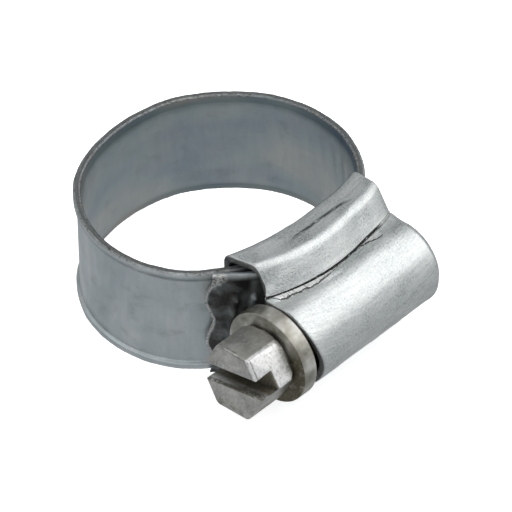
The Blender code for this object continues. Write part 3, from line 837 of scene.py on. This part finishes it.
def screw_finish():
    f = Finish("screw_steel_plated")
    x, y, z = f.node("ShaderNodeSeparateXYZ", f.place()).outputs
    radius = f.calc("SQRT", f.calc("ADD", f.calc("MULTIPLY", y, y), f.calc("MULTIPLY", z, z)))
    cloud = f.noise((0.45, 0.45, 0.45), 5.0, 0.65, warp=0.6)
    frost = f.noise((4.0, 4.0, 4.0), 5.0, 0.8)
    milled = f.noise((0.4, 2.8, 2.8), 5.0, 0.7, (1.0, 1.0, 3.0))
    colour = f.ramp(cloud, (0.32, (0.27, 0.27, 0.245)), (0.5, (0.46, 0.455, 0.43)), (0.68, (0.62, 0.61, 0.58)))
    colour = f.mix(f.fade(milled, 0.38, 0.62, 0.0, 0.5), colour, (0.29, 0.285, 0.255))
    colour = f.mix(f.fade(frost, 0.42, 0.64, 0.0, 0.45), colour, (0.76, 0.75, 0.72))

    # painted shade: the hexagon's top face darkened
    top = f.calc("MULTIPLY", f.fade(z, 3.4, 3.6), f.fade(x, COLLAR_FRONT - 0.4, HEX_BACK, 1.0, 0.0))
    colour = f.mix(f.calc("MULTIPLY", top, 0.45), colour, (0.24, 0.235, 0.21))
    # painted highlight: the hexagon face turned towards the key light is brightened, with a frosted grit
    side = f.calc("ADD", f.calc("MULTIPLY", y, -0.822), f.calc("MULTIPLY", z, 0.569))
    painted_highlight_face = f.calc("MULTIPLY", f.fade(side, 3.3, 3.55), f.fade(x, COLLAR_FRONT - 0.4, HEX_BACK, 1.0, 0.0))
    patchy = f.noise((0.9, 1.3, 1.3), 5.0, 0.7, (4.0, 0.0, 6.0))
    painted_highlight_face = f.calc("MULTIPLY", painted_highlight_face, f.fade(patchy, 0.36, 0.5, 0.35, 1.0))
    grit = f.noise((3.0, 3.0, 3.0), 5.0, 0.8, (6.0, 1.0, 0.0))
    painted_highlight_grit = f.ramp(grit, (0.34, (0.5, 0.49, 0.46)), (0.46, (0.85, 0.845, 0.82)), (0.58, (0.98, 0.98, 0.96)))
    colour = f.mix(painted_highlight_face, colour, painted_highlight_grit)
    on_collar = f.fade(x, HEX_BACK, COLLAR_FRONT)
    broad = f.noise((0.25, 0.32, 0.32), 3.0, 0.55, (7.0, 2.0, 1.0))
    tan = f.ramp(broad, (0.36, (0.13, 0.12, 0.085)), (0.5, (0.40, 0.385, 0.33)), (0.62, (0.72, 0.71, 0.67)))
    colour = f.mix(f.calc("MULTIPLY", on_collar, 0.75), colour, tan)

    # painted highlight and painted shade: a bright line and a dark line round the front face's chamfer, broken up by
    # noise
    rim = f.calc("SUBTRACT", f.calc("SUBTRACT", x, HEX_FRONT), f.calc("MULTIPLY", z, FRONT_LEAN))
    rim_breakup = f.fade(f.noise((1.5, 0.7, 0.7), 5.0, 0.75, (3.0, 3.0, 3.0)), 0.42, 0.54)
    painted_rim_highlight = f.calc("MULTIPLY", f.calc("MULTIPLY", f.fade(rim, 0.03, 0.06), f.fade(rim, 0.14, 0.22, 1.0, 0.0)), rim_breakup)
    colour = f.mix(f.calc("MULTIPLY", painted_rim_highlight, 0.8), colour, (0.8, 0.79, 0.75))
    painted_rim_shade = f.calc("MULTIPLY", f.fade(rim, 0.2, 0.28), f.fade(rim, 0.36, 0.5, 1.0, 0.0))
    colour = f.mix(f.calc("MULTIPLY", f.calc("MULTIPLY", painted_rim_shade, rim_breakup), 0.6), colour, (0.1, 0.1, 0.09))

    # grime and painted shade: a dark ring where the hexagon meets the collar, wider on the shaded side
    gap = f.calc("SUBTRACT", x, HEX_BACK + 0.08)
    near = f.calc("ABSOLUTE", gap)
    shaded = f.fade(f.calc("ADD", f.calc("MULTIPLY", y, 0.6), z), -1.0, 3.2, 1.0, 0.0)
    lap = f.calc("MAXIMUM", f.fade(near, 0.1, 0.18, 1.0, 0.0), f.calc("MULTIPLY", f.fade(near, 0.24, 0.36, 1.0, 0.0), shaded))
    lap = f.calc("MULTIPLY", lap, f.fade(f.noise((0.8, 0.8, 0.8), 4.0, 0.65), 0.3, 0.5, 0.4, 1.0))
    # painted shade: patchy darkening towards the underside
    low = f.fade(f.noise((0.6, 0.9, 0.9), 4.0, 0.6, (9.0, 0.0, 0.0)), 0.4, 0.6)
    low = f.calc("MULTIPLY", f.fade(z, -3.4, -1.2, 0.6, 0.0), low)
    tilt = math.radians(SLOT_TILT_DEG)
    lifted = f.calc("MULTIPLY", f.calc("SUBTRACT", z, SLOT_LIFT), math.cos(tilt))
    across = f.calc("SUBTRACT", lifted, f.calc("MULTIPLY", y, math.sin(tilt)))
    depth = f.calc("SUBTRACT", x, HEX_FRONT)
    in_slot = f.fade(f.calc("ABSOLUTE", across), SLOT_W / 2 + 0.03, SLOT_W / 2 + 0.08, 1.0, 0.0)
    in_slot = f.calc("MULTIPLY", in_slot, f.fade(depth, SLOT_DEPTH + 0.1, SLOT_DEPTH + 0.3, 1.0, 0.0))
    # painted shade: the slot's floor darkened deeper in
    floor = f.calc("MULTIPLY", in_slot, f.fade(depth, 0.5, 1.3, 0.0, 0.92))
    # painted shade with grime: a dark line along the slot's lower lip
    lip_line = f.fade(f.calc("ABSOLUTE", f.calc("ADD", across, SLOT_W / 2)), 0.04, 0.2, 1.0, 0.0)
    lip_line = f.calc("MULTIPLY", lip_line, f.fade(depth, 0.1, 0.5, 1.0, 0.0))
    lip_line = f.calc("MULTIPLY", lip_line, f.fade(f.noise((0.8, 0.6, 3.0), 5.0, 0.75), 0.36, 0.5))
    floor = f.calc("MAXIMUM", floor, f.calc("MULTIPLY", lip_line, 0.9))
    # grease and painted shade on the shank and worm behind the collar
    neck = f.fade(x, COLLAR_BACK - 0.2, COLLAR_BACK + 0.05)
    oil_and_shade = f.calc("MAXIMUM", f.calc("MAXIMUM", lap, low), f.calc("MAXIMUM", floor, neck))
    # grime and painted shade, mixed in as dark olive colours
    grime_and_shade = f.ramp(frost, (0.35, (0.02, 0.02, 0.014)), (0.6, (0.085, 0.075, 0.04)), (0.8, (0.16, 0.13, 0.07)))
    colour = f.mix(oil_and_shade, colour, grime_and_shade)

    rough = f.fade(cloud, 0.3, 0.7, 0.33, 0.43)
    rough = f.calc("ADD", rough, f.fade(frost, 0.3, 0.7, -0.05, 0.1))
    rough = f.blend(oil_and_shade, rough, 0.5)
    height = f.calc("ADD", f.calc("MULTIPLY", milled, 0.8), f.calc("MULTIPLY", frost, 0.5))
    normal = f.bump(height, 0.045)
    rings = f.calc("SINE", f.calc("MULTIPLY", radius, 21.0))
    normal = f.bump(f.calc("MULTIPLY", rings, f.fade(x, HEX_FRONT + 0.02, HEX_FRONT + 0.1, 1.0, 0.0)), 0.003, normal)
    metal = f.blend(oil_and_shade, 1.0, 0.5)
    return f.done(colour, rough, metal, normal)


# ---------------------------------------------------------------- camera and light

AZIMUTH_DEG, ELEVATION_DEG, ROLL_DEG = -47.0, 40.254, 0.484
CAMERA_DISTANCE = 450.0
AIM_RIGHT, AIM_UP = 3.637, -3.110
FIELD_OF_VIEW_DEG = 6.857


def build_camera():
    a, e, roll = (math.radians(v) for v in (AZIMUTH_DEG, ELEVATION_DEG, ROLL_DEG))
    back = Vector((math.sin(a) * math.cos(e), -math.cos(a) * math.cos(e), math.sin(e)))
    right = Vector((math.cos(a), math.sin(a), 0.0))
    up = back.cross(right)
    place = Vector(LOOP) + back * CAMERA_DISTANCE + right * AIM_RIGHT + up * AIM_UP
    tilted_right = math.cos(roll) * right - math.sin(roll) * up
    tilted_up = math.sin(roll) * right + math.cos(roll) * up
    data = bpy.data.cameras.new("camera")
    data.sensor_width = 36.0
    data.angle = math.radians(FIELD_OF_VIEW_DEG)
    data.clip_start, data.clip_end = 0.01, 10.0
    camera = bpy.data.objects.new("camera", data)
    axes = Matrix((tilted_right, tilted_up, back)).transposed().to_4x4()
    camera.matrix_world = Matrix.Translation(place * MM) @ axes
    bpy.context.scene.collection.objects.link(camera)
    bpy.context.scene.camera = camera


def build_floor():
    size = 3.0
    mesh = bpy.data.meshes.new("floor")
    mesh.from_pydata([(-size, -size, 0), (size, -size, 0), (size, size, 0), (-size, size, 0)], [], [(0, 1, 2, 3)])
    floor = bpy.data.objects.new("floor", mesh)
    floor.visible_glossy = False
    bpy.context.scene.collection.objects.link(floor)
    mat = bpy.data.materials.new("floor_paper")
    mat.use_nodes = True
    bsdf = mat.node_tree.nodes["Principled BSDF"]
    bsdf.inputs["Base Color"].default_value = (0.93, 0.93, 0.93, 1.0)
    bsdf.inputs["Roughness"].default_value = 0.9
    bsdf.inputs["Specular IOR Level"].default_value = 0.0
    bsdf.inputs["Emission Color"].default_value = (1.0, 1.0, 1.0, 1.0)
    bsdf.inputs["Emission Strength"].default_value = 0.6
    mesh.materials.append(mat)


# soft panels seen in the metal: direction, half width in degrees, edge softness, strength
PANELS = (
    ((0.56, -0.40, 0.72), 30.0, 11.0, 1.35),
    ((0.56, -0.82, 0.13), 22.0, 14.0, 0.15),
    ((-0.75, -0.35, 0.55), 20.0, 20.0, 0.8),
    ((-0.30, 0.60, 0.75), 20.0, 20.0, 0.7),
)


def build_light():
    world = bpy.data.worlds.new("studio")
    bpy.context.scene.world = world
    world.use_nodes = True
    nodes, links = world.node_tree.nodes, world.node_tree.links
    way = nodes.new("ShaderNodeTexCoord").outputs["Generated"]
    height = nodes.new("ShaderNodeSeparateXYZ")
    links.new(way, height.inputs[0])
    sky = nodes.new("ShaderNodeValToRGB")
    spread = nodes.new("ShaderNodeMapRange")
    spread.inputs[1].default_value, spread.inputs[2].default_value = -1.0, 1.0
    links.new(height.outputs[2], spread.inputs[0])
    links.new(spread.outputs[0], sky.inputs[0])
    stops = ((0.0, 0.40), (0.2, 0.54), (0.45, 0.50), (0.55, 0.50), (0.8, 0.38), (1.0, 0.6))
    while len(sky.color_ramp.elements) < len(stops):
        sky.color_ramp.elements.new(0.5)
    for item, (at, level) in zip(sky.color_ramp.elements, stops):
        item.position = at
        item.color = (level * 0.97, level, level * 1.03, 1.0)
    total = sky.outputs[0]
    for direction, half_deg, soft_deg, strength in PANELS:
        dot = nodes.new("ShaderNodeVectorMath")
        dot.operation = "DOT_PRODUCT"
        links.new(way, dot.inputs[0])
        dot.inputs[1].default_value = Vector(direction).normalized()
        edge = nodes.new("ShaderNodeMapRange")
        edge.interpolation_type = "SMOOTHSTEP"
        edge.inputs[1].default_value = math.cos(math.radians(half_deg + soft_deg))
        edge.inputs[2].default_value = math.cos(math.radians(max(half_deg - soft_deg, 0.0)))
        edge.inputs[4].default_value = strength
        links.new(dot.outputs["Value"], edge.inputs[0])
        add = nodes.new("ShaderNodeVectorMath")
        add.operation = "ADD"
        links.new(total, add.inputs[0])
        links.new(edge.outputs[0], add.inputs[1])
        total = add.outputs[0]
    links.new(total, nodes["Background"].inputs["Color"])

    data = bpy.data.lights.new("overhead", "AREA")
    data.shape, data.size, data.energy = "DISK", 0.5, 2.2
    lamp = bpy.data.objects.new("overhead", data)
    lamp.location = (0.12, -0.05, 0.6)
    lamp.rotation_euler = (Vector(lamp.location)).to_track_quat("Z", "Y").to_euler()
    lamp.visible_glossy = False
    bpy.context.scene.collection.objects.link(lamp)


build_band(band_finish())
build_housing(housing_finish())
build_screw(screw_finish())
build_floor()
build_light()
build_camera()
bpy.context.scene.view_settings.view_transform = "Standard"
